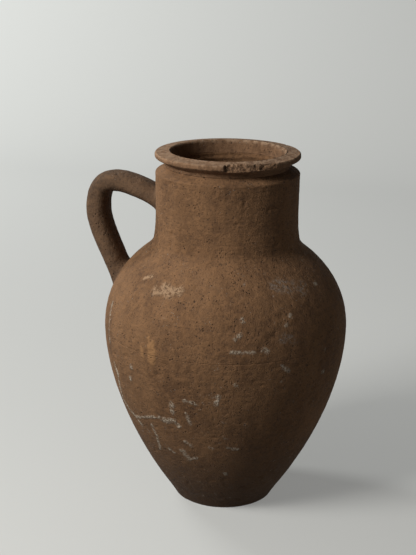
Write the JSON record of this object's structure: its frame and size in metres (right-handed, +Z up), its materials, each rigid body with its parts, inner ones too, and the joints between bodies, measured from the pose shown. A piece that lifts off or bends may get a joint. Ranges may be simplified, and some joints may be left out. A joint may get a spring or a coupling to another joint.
{
  "type": "olive jar",
  "caption": "Tall one-handled terracotta olive jar with a broad belly, narrow foot, collar neck and chipped flanged rim.",
  "frame": {"origin": "centre of the foot's underside, on the ground", "axes": "+Z up along the jar's axis, -X towards the handle, -Y towards the side that shows the chip in the rim"},
  "size_m": [0.2985, 0.272, 0.4],
  "materials": {
    "dark_terracotta": "matte, unglazed, stained dark by damp ground",
    "body_terracotta": "matte, unglazed, grainy, with pale lime and sand deposits",
    "neck_terracotta": "matte, unglazed, with fine throwing lines",
    "handle_terracotta": "matte, unglazed, worn by handling"
  },
  "bodies": {
    "root": {"foot": "dark_terracotta", "lower_body": "body_terracotta", "upper_body": "body_terracotta", "neck": "neck_terracotta", "rim": "neck_terracotta", "handle": "handle_terracotta", "upper_handle_lute": "handle_terracotta", "lower_handle_lute": "handle_terracotta"}
  },
  "joints": []
}
